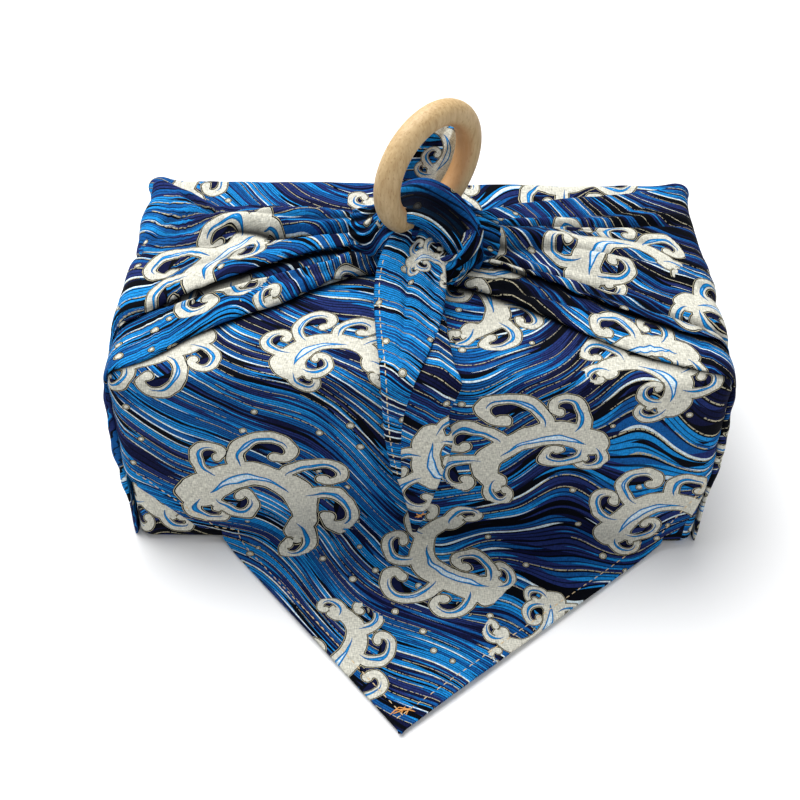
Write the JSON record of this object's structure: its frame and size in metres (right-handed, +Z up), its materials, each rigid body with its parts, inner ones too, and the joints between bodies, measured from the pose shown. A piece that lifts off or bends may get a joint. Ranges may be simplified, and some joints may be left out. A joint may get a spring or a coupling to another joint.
{
  "type": "furoshiki wrap with its wooden ring, folded over a plain gift box",
  "caption": "Printed cotton wrapping cloth folded and knotted through a wooden ring around a rectangular gift box, with a pointed flap lying forward and a loose tail down the front.",
  "frame": {"origin": "centre of the wrapped box's underside, on the table", "axes": "+X along the box's long side, -Y towards the pointed flap, +Z up through the knot"},
  "size_m": [0.2354, 0.2147, 0.1634],
  "materials": {
    "printed_cotton": "woven cotton with a wave print",
    "beech": "sanded, unvarnished",
    "cartonboard": "plain uncoated board"
  },
  "bodies": {
    "root": {"furoshiki_cloth": "printed_cotton", "wooden_ring": "beech", "gift_box": "cartonboard"}
  },
  "joints": []
}
